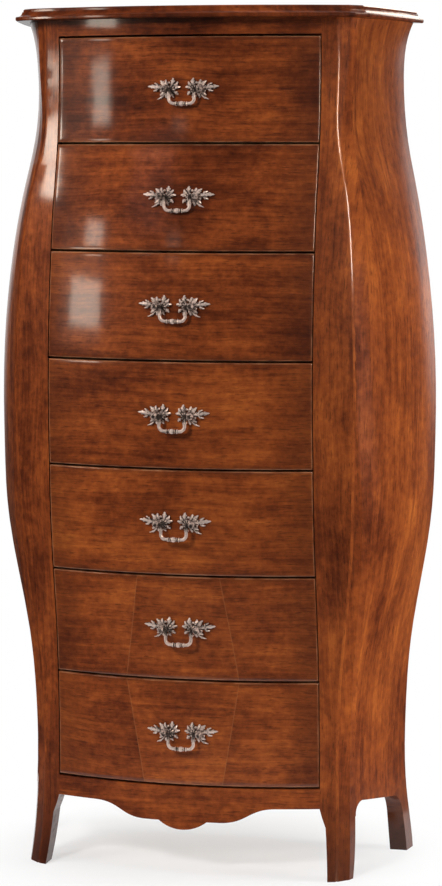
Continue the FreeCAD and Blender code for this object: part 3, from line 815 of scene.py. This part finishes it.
def cast_leaf(bm, relief, root, tip, width, sway, lift, scallops):
    """Add one leaf. Places are across, up; the third coordinate grows outwards from the wood."""
    along = tip - root
    sideways = Vector((-along.y, along.x)).normalized()
    grid = bmesh.ops.create_grid(bm, x_segments=LEAF_STEPS, y_segments=2 * LEAF_HALF_STEPS, size=HALF_UNIT)
    for vert in grid["verts"]:
        share = vert.co.x + HALF_UNIT
        across = vert.co.y / HALF_UNIT
        middle = root + along * share + sideways * (sway * math.sin(math.pi * share))
        place = middle + sideways * (across * width / 2 * leaf_width(share, across, scallops))
        rib, vein = leaf_ridges(share, across, scallops)
        curl = math.sin(math.pi * min(1.0, share * EARLY_CURL)) * lift
        height = LEAF_CLEARANCE + LEAF_THICKNESS + curl + RIB_HEIGHT * rib * (1.0 - RIB_FALL * share)
        height += VEIN_HEIGHT * vein * (1.0 - rib)
        ridge = RIB_SHINE * rib + VEIN_SHINE * vein * abs(across)
        vert[relief] = min(1.0, ridge * (ROOT_SHINE + TIP_GAIN * share) + TIP_SHINE * share)
        vert.co = Vector((place.x, place.y, height))
    faces = list({face for vert in grid["verts"] for face in vert.link_faces})
    bmesh.ops.solidify(bm, geom=faces, thickness=LEAF_THICKNESS)


print("leaf net:", LEAF_STEPS, "by", 2 * LEAF_HALF_STEPS)

# %% [markdown]
# Turned pieces
#
# Collars, knobs, bolts and the knuckle of a bail are all turned: a profile spun about an axis.
# Cylinders and balls could be stacked instead, but a spin gives every groove and bead from one
# short line of points. The helper takes the profile as radius and height pairs that start and end
# on the axis, spins it and closes it. The relief number grows from the axis to the largest radius,
# so that a groove stays dark and a bead comes out bright, and flutes add ribs round the axis.

# %% Turned pieces
TURN_STEPS = 24
BALL_STEPS = 8
FLUTE_DEPTH = 0.3


def add_turned(bm, relief, profile, to_place, shine, steps=TURN_STEPS, flutes=0, axis_share=0.35):
    """Spin a profile of radius, height pairs about its upright axis, then move it by a matrix."""
    before = set(bm.verts)
    verts = [bm.verts.new((radius, 0.0, height)) for radius, height in profile]
    edges = [bm.edges.new(pair) for pair in zip(verts, verts[1:])]
    bmesh.ops.spin(bm, geom=verts + edges, cent=(0, 0, 0), axis=(0, 0, 1), angle=math.tau, steps=steps,
                   use_merge=True)
    made = [vert for vert in bm.verts if vert not in before]
    bmesh.ops.remove_doubles(bm, verts=made, dist=MERGE_DISTANCE)
    made = [vert for vert in bm.verts if vert not in before]
    largest = max(radius for radius, height in profile)
    for vert in made:
        radius = math.hypot(vert.co.x, vert.co.y)
        flute = math.cos(flutes * math.atan2(vert.co.y, vert.co.x))
        rubbed = axis_share + (1.0 - axis_share) * radius / largest
        vert[relief] = shine * rubbed * (1.0 - FLUTE_DEPTH + FLUTE_DEPTH * flute)
    bmesh.ops.recalc_face_normals(bm, faces=list({face for vert in made for face in vert.link_faces}))
    bmesh.ops.transform(bm, matrix=to_place, verts=made)


def ball_profile(radius, middle):
    """Half a circle, from pole to pole."""
    turns = [math.pi * step / BALL_STEPS for step in range(BALL_STEPS + 1)]
    return [(radius * math.sin(turn), middle - radius * math.cos(turn)) for turn in turns]


print("turning steps:", TURN_STEPS)

# %% [markdown]
# The rosettes, their posts, bolts and nuts
#
# Each pull has two mirrored rosettes. Leaves and berries spread round a dark boss, and a longer
# branch of leaves reaches outwards with the wood showing through it. A post beside the boss ends in
# a knob that carries the bail; behind the wood a bolt and a nut hold it. The leaves are written
# down in a flat plan, in millimetres out from the middle of the pull and up, and are then set on
# the bowed, leaning wood point by point, so that no leaf floats off or sinks in.

# %% Plan of a rosette
MM = 0.001
POST_OUT = 0.027
BOSS_OUT = 0.018
# root, tip, width, sway, lift and count of scallops
ROSETTE_LEAVES = [
    ((30.0, 1.5), (54.5, 4.5), 7.6, 0.8, 2.0, 4),
    ((37.0, 4.0), (44.5, 9.5), 4.2, 0.8, 1.6, 2),
    ((37.5, 1.0), (46.0, -2.5), 4.0, -0.8, 1.6, 2),
    ((27.0, 3.0), (35.5, 13.0), 7.0, 1.0, 2.0, 3),
    ((23.0, 5.0), (27.0, 14.5), 6.4, -0.8, 2.2, 2),
    ((17.0, 5.0), (15.5, 17.0), 7.8, 1.0, 2.4, 3),
    ((13.5, 4.5), (8.0, 11.5), 5.6, 0.8, 2.0, 2),
    ((12.5, 1.0), (3.5, 3.5), 6.0, -1.0, 2.2, 2),
    ((13.0, -3.5), (7.0, -8.5), 5.8, -0.8, 2.0, 2),
    ((16.5, -5.5), (14.0, -12.5), 5.0, 0.6, 1.6, 2),
    ((22.5, -4.5), (26.0, -13.0), 5.8, 0.8, 1.8, 2),
    ((27.5, -2.0), (35.5, -9.0), 6.4, -0.8, 1.8, 3),
    ((26.0, -5.0), (40.0, -15.0), 3.6, -1.8, 1.6, 3),
]
BERRIES = [(31.5, 6.5), (33.5, -2.5), (21.0, 10.0), (10.5, 7.0), (10.5, -5.5), (19.5, -10.0)]
BERRY_RADIUS = 0.0017
BERRY_SHINE = 1.0
BERRY_STEPS = 12
BOSS = [(0.0, 0.0004), (0.0062, 0.0004), (0.0066, 0.0016), (0.0060, 0.0030), (0.0053, 0.0027),
        (0.0043, 0.0040), (0.0027, 0.0048), (0.0020, 0.0043), (0.0012, 0.0053), (0.0, 0.0056)]
BOSS_SHINE = 0.72
BOSS_STEPS = 32
BOSS_FLUTES = 8
STEM = [(0.0, 0.0004), (0.0052, 0.0004), (0.0048, 0.0018), (0.0038, 0.0030), (0.0035, 0.0080),
        (0.0, 0.0080)]
STEM_SHINE = 0.6


def flat_rosettes():
    """Both rosettes in their flat plan, outwards along +Z."""
    bm = bmesh.new()
    relief = bm.verts.layers.float.new("relief")
    for root, tip, width, sway, lift, scallops in ROSETTE_LEAVES:
        cast_leaf(bm, relief, Vector(root) * MM, Vector(tip) * MM, width * MM, sway * MM, lift * MM, scallops)
    berry = ball_profile(BERRY_RADIUS, 2.0 * BERRY_RADIUS)
    for out, up in BERRIES:
        on_plan = Matrix.Translation((out * MM, up * MM, 0.0))
        add_turned(bm, relief, berry, on_plan, BERRY_SHINE, BERRY_STEPS)
    boss_place = Matrix.Translation((BOSS_OUT, 0.0, 0.0))
    add_turned(bm, relief, BOSS, boss_place, BOSS_SHINE, BOSS_STEPS, BOSS_FLUTES)
    add_turned(bm, relief, STEM, Matrix.Translation((POST_OUT, 0.0, 0.0)), STEM_SHINE)
    bmesh.ops.recalc_face_normals(bm, faces=bm.faces)
    bmesh.ops.mirror(bm, geom=list(bm.verts) + list(bm.edges) + list(bm.faces), axis="X", merge_dist=0.0)
    bmesh.ops.recalc_face_normals(bm, faces=bm.faces)
    return bm, relief


print("rosette:", len(ROSETTE_LEAVES), "leaves and", len(BERRIES), "berries")

# %% Rosettes on the wood
KNOB_RADIUS = 0.0050
KNOB_SHINE = 0.56
BOLT_RADIUS = 0.0020
BOLT_PAST_NUT = 0.0015
BOLT_SHINE = 0.6
BOLT_STEPS = 16
NUT_RADIUS = 0.0046
NUT_HEIGHT = 0.0035
NUT_SIDES = 6
ROSETTE_SHARP = 50.0
bail_pivots = {int(joint["child"].split("_")[1]): joint["pos_m"]
               for joint in frame["joints"] if joint["type"] == "hinge"}


def add_fixings(bm, relief, eye, lean, middle_z, back_y):
    """The knobs in front of the wood, and the bolts and nuts behind it."""
    bolt_end = back_y + NUT_HEIGHT + BOLT_PAST_NUT - eye.y
    bolt = [(0.0, 0.0), (BOLT_RADIUS, 0.0), (BOLT_RADIUS, bolt_end), (0.0, bolt_end)]
    nut_start = back_y - eye.y
    nut_end = nut_start + NUT_HEIGHT
    nut = [(0.0, nut_start), (NUT_RADIUS, nut_start), (NUT_RADIUS, nut_end), (0.0, nut_end)]
    to_back = Matrix.Rotation(-QUARTER_TURN, 4, "X")
    for side in (-1.0, 1.0):
        knob_place = Matrix.Translation(Vector((side * POST_OUT, eye.y, eye.z))) @ lean
        add_turned(bm, relief, ball_profile(KNOB_RADIUS, 0.0), knob_place, KNOB_SHINE)
        level = Matrix.Translation(Vector((side * POST_OUT, eye.y, middle_z))) @ to_back
        add_turned(bm, relief, bolt, level, BOLT_SHINE, BOLT_STEPS)
        add_turned(bm, relief, nut, level, BOLT_SHINE, NUT_SIDES)


def handle(drawer):
    """Rosettes set on the wood of one drawer, with posts, bolts and nuts."""
    front_node = f"drawer_{drawer}_front"
    target = ray_target(front_node)
    low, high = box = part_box(front_node)
    middle_z = (low.z + high.z) / 2
    normal = cast_ray(target, 0.0, middle_z, True)[1]
    outward = Vector((0.0, normal.y, normal.z)).normalized()
    upward = Vector((0.0, outward.z, -outward.y))
    bm, relief = flat_rosettes()
    for vert in bm.verts:
        across, up, out = vert.co
        z = middle_z + up * upward.z
        vert.co = Vector((across, drop_on(target, box, across, z), z)) + outward * out
    lean = outward.to_track_quat("Z", "Y").to_matrix().to_4x4()
    back_y = drop_on(target, box, POST_OUT + NUT_RADIUS, middle_z, from_front=False)
    add_fixings(bm, relief, Vector(bail_pivots[drawer]), lean, middle_z, back_y)
    return bm


for drawer in drawers:
    handle_piece = keep_piece(f"rosettes_{drawer}", handle(drawer), silvered, f"drawer_{drawer}",
                              [f"drawer_{drawer}_handle_plates"], ROSETTE_SHARP)
print("rosettes:", drawer_count, "pairs, each", len(handle_piece.data.polygons), "faces")

# %% [markdown]
# The bails
#
# A bail is a bent rod: pin, shoulder, arm, corner and bar, with a turned knuckle in the middle of
# the bar. A ring of points is pushed along the straight runs and spun round the bends, which is
# how a rod is bent on a bench; half a bail is made this way and mirrored. A bevelled curve would be
# shorter to write, but its ends are harder to make thinner and to close. Hands rub the bar bright.
# The arms under the leaves and the underside of the bar are darkened as painted shade.

# %% Bending a rod
def ring_verts(ring):
    """The points of a ring of edges."""
    return {vert for edge in ring for vert in edge.verts}


def push_ring(bm, ring, step):
    """Push a ring of edges along a straight run and return the new ring."""
    made = bmesh.ops.extrude_edge_only(bm, edges=ring)["geom"]
    bmesh.ops.translate(bm, vec=step, verts=[item for item in made if isinstance(item, bmesh.types.BMVert)])
    made_edges = [item for item in made if isinstance(item, bmesh.types.BMEdge)]
    return [edge for edge in made_edges if not set(edge.verts) & ring_verts(ring)]


def spin_ring(bm, ring, centre, angle, steps):
    """Turn a ring about a level front-to-back axis and return the last ring."""
    made = bmesh.ops.spin(bm, geom=ring + list(ring_verts(ring)), cent=centre, axis=(0, 1, 0), angle=angle,
                          steps=steps, use_merge=False)["geom_last"]
    return [item for item in made if isinstance(item, bmesh.types.BMEdge)]


print("rod bending ready")

# %% Bails
ROD_RADIUS = 0.0025
RING_POINTS = 16
PIN_SHARE = 0.84
PIN_END = 0.0310
PIN_MARGIN = ROD_RADIUS / 10
ARM_OUT = 0.0194
SHOULDER = 0.0030
SHOULDER_STEPS = 6
CORNER = 0.0080
CORNER_STEPS = 10
DROP = 0.0220
MIRROR_MERGE = 1e-5
BAR_SHINE = 0.72
ARM_PAINTED_SHADE = 0.58
UNDERSIDE_PAINTED_SHADE = 0.35
KNUCKLE = [(0.0, -0.0095), (0.0026, -0.0095), (0.0036, -0.0082), (0.0027, -0.0068), (0.0026, -0.0056),
           (0.0034, -0.0046), (0.0027, -0.0038), (0.0034, -0.0024), (0.0040, 0.0)]
KNUCKLE_SHINE = 0.95
KNUCKLE_AXIS_SHARE = -1.0
BAIL_SHARP = 40.0


def bent_rod():
    """A bail without its knuckle, which hangs from the origin with its pins along X."""
    bm = bmesh.new()
    bmesh.ops.create_circle(bm, cap_ends=True, segments=RING_POINTS, radius=ROD_RADIUS)
    bmesh.ops.rotate(bm, cent=(0, 0, 0), matrix=Matrix.Rotation(QUARTER_TURN, 3, "Y"), verts=bm.verts)
    bmesh.ops.translate(bm, vec=(PIN_END, 0.0, 0.0), verts=bm.verts)
    ring = list(bm.edges)
    ring = push_ring(bm, ring, (ARM_OUT + SHOULDER - PIN_END, 0.0, 0.0))
    ring = spin_ring(bm, ring, (ARM_OUT + SHOULDER, 0.0, -SHOULDER), -QUARTER_TURN, SHOULDER_STEPS)
    ring = push_ring(bm, ring, (0.0, 0.0, SHOULDER + CORNER - DROP))
    ring = spin_ring(bm, ring, (ARM_OUT - CORNER, 0.0, CORNER - DROP), QUARTER_TURN, CORNER_STEPS)
    push_ring(bm, ring, (CORNER - ARM_OUT, 0.0, 0.0))
    pin_verts = [vert for vert in bm.verts if vert.co.x > ARM_OUT + SHOULDER - PIN_MARGIN]
    bmesh.ops.scale(bm, vec=(1.0, PIN_SHARE, PIN_SHARE), verts=pin_verts)
    bmesh.ops.mirror(bm, geom=list(bm.verts) + list(bm.edges) + list(bm.faces), axis="X",
                     merge_dist=MIRROR_MERGE)
    bmesh.ops.remove_doubles(bm, verts=bm.verts, dist=MERGE_DISTANCE)
    bmesh.ops.recalc_face_normals(bm, faces=bm.faces)
    return bm


def bail():
    """A bent rod with its relief, painted shade on the arms and under the bar, and its knuckle."""
    bm = bent_rod()
    relief = bm.verts.layers.float.new("relief")
    for vert in bm.verts:
        # painted shade: the relief drops up the arms and under the bar, where shade falls
        up_the_arm = max(0.0, 1.0 + vert.co.z / (DROP / 2))
        under_bar = max(0.0, -vert.co.z - DROP) / ROD_RADIUS
        vert[relief] = BAR_SHINE - ARM_PAINTED_SHADE * up_the_arm - UNDERSIDE_PAINTED_SHADE * under_bar
    profile = KNUCKLE + [(radius, -place) for radius, place in reversed(KNUCKLE[:-1])]
    on_bar = Matrix.Translation((0.0, 0.0, -DROP)) @ Matrix.Rotation(QUARTER_TURN, 4, "Y")
    add_turned(bm, relief, profile, on_bar, KNUCKLE_SHINE, axis_share=KNUCKLE_AXIS_SHARE)
    return bm


for drawer, pivot in bail_pivots.items():
    hanging = bail()
    bmesh.ops.translate(hanging, vec=pivot, verts=hanging.verts)
    bail_piece = keep_piece(f"turned_bail_{drawer}", hanging, silvered, f"bail_{drawer}",
                            [f"drawer_{drawer}_bail"], BAIL_SHARP)
print("bails:", len(bail_pivots), "each", len(bail_piece.data.polygons), "faces")

# %% [markdown]
# Camera
#
# The photograph is a catalogue picture, taken from a little to the right and above the middle. The
# posts stay upright in it because the lens was shifted instead of the camera being tilted far down,
# so the camera here has the same shift. Its focal length and place were worked out from the drawer
# joints, the feet and the top corners in the photograph.

# %% Camera
PHOTO_HEIGHT_PX = 886
FOCAL_PX = 2748.0
AXIS_ROW_PX = 250.0
SENSOR = 36.0
CAMERA_PLACE = (1.0266, -4.0463, 1.0902)
CAMERA_DOWN = 2.14
CAMERA_TURN = 13.76
camera_data = bpy.data.cameras.new("catalogue camera")
camera_data.sensor_width = SENSOR
camera_data.lens = SENSOR * FOCAL_PX / PHOTO_HEIGHT_PX
camera_data.shift_y = (AXIS_ROW_PX - PHOTO_HEIGHT_PX / 2) / PHOTO_HEIGHT_PX
camera = bpy.data.objects.new("catalogue camera", camera_data)
camera.location = CAMERA_PLACE
camera.rotation_euler = (math.radians(90.0 - CAMERA_DOWN), 0.0, math.radians(CAMERA_TURN))
bpy.context.scene.collection.objects.link(camera)
bpy.context.scene.camera = camera
print("camera:", round(camera_data.lens, 2), "mm, shift", round(camera_data.shift_y, 3))

# %% [markdown]
# Floor
#
# The chest stands on a pale floor that runs into the white without an edge. A large plane would
# need far more light to come out white, so the floor is a disc that keeps the soft shadow near the
# feet and fades to plain white further out. The white is only for rays from the camera and from
# mirroring surfaces; all other light meets an ordinary pale floor.

# %% Floor
FLOOR_RADIUS = 0.66
FLOOR_SEGMENTS = 96
FLOOR_FADE = (0.14, 0.43)
FLOOR_WHITE = 0.47
FLOOR_PAINT = (0.92, 0.92, 0.92, 1.0)
FLOOR_ROUGHNESS = 0.8
FLOOR_SHINE = 0.1
WHITE = (1.0, 1.0, 1.0, 1.0)
floor_net = bmesh.new()
bmesh.ops.create_circle(floor_net, cap_ends=True, segments=FLOOR_SEGMENTS, radius=FLOOR_RADIUS)
floor_mesh = bpy.data.meshes.new("studio_floor")
floor_net.to_mesh(floor_mesh)
floor_net.free()
floor_material, floor_tree, floor_shader = new_material("white floor")
floor_shader.inputs["Base Color"].default_value = FLOOR_PAINT
floor_shader.inputs["Roughness"].default_value = FLOOR_ROUGHNESS
floor_shader.inputs["Specular IOR Level"].default_value = FLOOR_SHINE
floor_distance = calculate_vector(floor_tree, "LENGTH", object_place(floor_tree), output="Value")
floor_white = stretch_range(floor_tree, floor_distance, *FLOOR_FADE, FLOOR_WHITE, 1.0)
light_path = add_node(floor_tree, "ShaderNodeLightPath")
sees_white = calculate(floor_tree, "MAXIMUM", light_path.outputs["Is Camera Ray"],
                       calculate(floor_tree, "MAXIMUM", light_path.outputs["Is Glossy Ray"],
                                 light_path.outputs["Is Transmission Ray"]))
floor_glow = add_node(floor_tree, "ShaderNodeEmission", {"Color": WHITE, "Strength": 1.0})
floor_mix = add_node(floor_tree, "ShaderNodeMixShader",
                     {0: calculate(floor_tree, "MULTIPLY", floor_white, sees_white),
                      1: floor_shader.outputs["BSDF"], 2: floor_glow.outputs["Emission"]})
floor_tree.links.new(floor_mix.outputs["Shader"], floor_tree.nodes["Material Output"].inputs["Surface"])
floor_mesh.materials.append(floor_material)
studio_floor = bpy.data.objects.new("studio_floor", floor_mesh)
bpy.context.scene.collection.objects.link(studio_floor)
print("floor:", FLOOR_RADIUS, "m in radius")

# %% [markdown]
# World
#
# Behind the chest hangs a white sweep. The world stands for it: white for the camera, and a weak
# even light for the wood. A real sweep is only so wide, and the rest of a studio is dark, so the
# lacquer mirrors white only where it looks straight back and above the floor. A world that is white
# all round would be simpler, but it would lay a grey veil over the stain.

# %% World
AMBIENT = 0.18
SWEEP_TURN = math.radians(3.0)
SWEEP_EDGE = (0.80, 0.95)
HORIZON = (-0.16, 0.0)
DARK_STUDIO = 0.03
world = bpy.data.worlds.new("studio")
bpy.context.scene.world = world
world.use_nodes = True
world_tree = world.node_tree
world_tree.nodes.clear()
ray = add_node(world_tree, "ShaderNodeLightPath")
looking = add_node(world_tree, "ShaderNodeTexCoord").outputs["Generated"]
level_look = calculate_vector(world_tree, "MULTIPLY", looking, (1.0, 1.0, 0.0))
level_look = calculate_vector(world_tree, "NORMALIZE", level_look)
sweep_way = (-math.sin(SWEEP_TURN), math.cos(SWEEP_TURN), 0.0)
towards_sweep = calculate_vector(world_tree, "DOT_PRODUCT", level_look, sweep_way, output="Value")
look_up = add_node(world_tree, "ShaderNodeSeparateXYZ", {"Vector": looking}).outputs["Z"]
sweep_share = calculate(world_tree, "MULTIPLY", stretch_range(world_tree, towards_sweep, *SWEEP_EDGE),
                        stretch_range(world_tree, look_up, *HORIZON))
mirrored_sweep = stretch_range(world_tree, sweep_share, 0.0, 1.0, DARK_STUDIO, 1.0)
mirror_ray = calculate(world_tree, "MAXIMUM", ray.outputs["Is Glossy Ray"],
                       ray.outputs["Is Transmission Ray"])
level = add_node(world_tree, "ShaderNodeMix", {0: mirror_ray, 2: AMBIENT, 3: mirrored_sweep},
                 data_type="FLOAT").outputs[0]
level = add_node(world_tree, "ShaderNodeMix", {0: ray.outputs["Is Camera Ray"], 2: level, 3: 1.0},
                 data_type="FLOAT").outputs[0]
backdrop = add_node(world_tree, "ShaderNodeBackground", {"Color": WHITE, "Strength": level})
add_node(world_tree, "ShaderNodeOutputWorld", {"Surface": backdrop.outputs["Background"]})
print("world:", len(world_tree.nodes), "nodes")

# %% [markdown]
# Lamps
#
# Large softboxes light the wood. The lacquer would mirror each of them as a grey sheet, so they are
# hidden from shiny surfaces. The bright stripes and lines that the photograph does show on the bowed
# fronts, the posts and the top come from warm lamps, called glints here, which shiny surfaces mirror
# and which light nothing else. Each lamp is placed by angles, as on a studio boom: how far it is
# turned to the right of the front, how far it is raised, and how far it stands from what it looks at.

# %% Lamps
AIM = Vector((0.0, -0.05, 0.95))
LEFT_NECK = Vector((-0.212, -0.078, 1.10))
SECOND_DRAWER = Vector((-0.15, -0.19, 0.96))
THIRD_DRAWER = Vector((-0.155, -0.19, 0.86))
WARM_WHITE = (1.0, 0.86, 0.72)
# degrees turned, degrees raised, distance, width, height and watts
SOFTBOXES = {
    "right key": (98.0, -5.0, 3.0, 1.2, 1.3, 98.0),
    "left fill": (-60.0, 22.0, 3.0, 1.0, 1.3, 29.0),
    "front key": (-24.0, 24.0, 3.0, 0.6, 0.5, 64.0),
    "overhead": (0.0, 88.0, 2.6, 1.6, 1.6, 36.0),
    "back fill": (180.0, 14.0, 3.2, 1.4, 1.2, 34.0),
}
# the point looked at, then the same
GLINTS = {
    "upper stripe": (SECOND_DRAWER, -41.2, 16.3, 1.5, 0.16, 0.168, 0.95),
    "lower stripe": (THIRD_DRAWER, -43.0, 6.0, 0.9, 0.20, 0.18, 1.35),
    "left haze": (AIM, -43.0, 8.0, 8.0, 1.85, 2.6, 10.0),
    "left neck": (LEFT_NECK, -56.6, 16.2, 0.7, 0.082, 0.088, 0.62),
    "middle haze": (AIM, -16.0, 15.5, 8.0, 0.55, 0.7, 1.8),
    "rear right": (AIM, 165.0, 25.5, 4.0, 2.1, 1.0, 38.0),
    "right corner": (AIM, 97.0, 43.0, 4.0, 1.1, 0.9, 18.0),
    "right line": (AIM, 58.0, 16.5, 3.0, 0.30, 0.95, 52.0),
}


def lamp_box(name, aim, turn, rise, distance, width, height, watts):
    """A lamp that looks at a point, turned from the front to the right and raised, in degrees."""
    lamp = bpy.data.lights.new(name, "AREA")
    lamp.shape = "RECTANGLE"
    lamp.size = width
    lamp.size_y = height
    lamp.energy = watts
    turn, rise = math.radians(turn), math.radians(rise)
    away = Vector((math.sin(turn) * math.cos(rise), -math.cos(turn) * math.cos(rise), math.sin(rise)))
    offset = away * distance
    box = bpy.data.objects.new(name, lamp)
    box.location = aim + offset
    box.rotation_euler = (-offset).to_track_quat("-Z", "Y").to_euler()
    bpy.context.scene.collection.objects.link(box)
    return box


for name, setting in SOFTBOXES.items():
    lamp_box(name, AIM, *setting).visible_glossy = False
for name, setting in GLINTS.items():
    box = lamp_box(name, *setting)
    box.data.color = WARM_WHITE
    box.visible_diffuse = False
bpy.context.scene.view_settings.view_transform = "Standard"
print("lamps:", len(bpy.data.lights))
